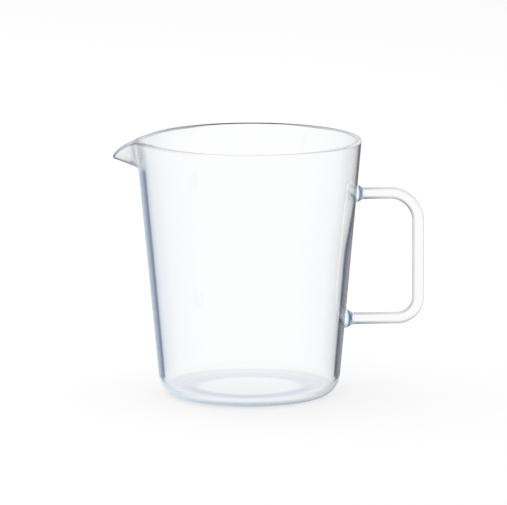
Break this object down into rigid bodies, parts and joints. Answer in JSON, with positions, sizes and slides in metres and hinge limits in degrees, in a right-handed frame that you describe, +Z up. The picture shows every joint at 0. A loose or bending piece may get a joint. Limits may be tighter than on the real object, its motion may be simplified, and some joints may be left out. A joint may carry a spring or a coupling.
{
  "type": "tea pitcher",
  "caption": "Clear glass tea pitcher: a tapered round body with a small pulled spout and a square loop handle bent from glass rod and welded to the wall.",
  "frame": {"origin": "middle of the flat base, on the body's axis, at the table", "axes": "+Z up along the body's axis, +X towards the handle, so the spout points along -X"},
  "size_m": [0.1375, 0.0992, 0.1142],
  "materials": {
    "body_glass": "clear blown glass, fire-polished",
    "handle_glass": "clear drawn rod, fire-polished",
    "weld_glass": "clear melted bead, fire-polished"
  },
  "bodies": {
    "root": {"body": "body_glass", "handle_rod": "handle_glass", "upper_weld": "weld_glass", "lower_weld": "weld_glass"}
  },
  "joints": []
}
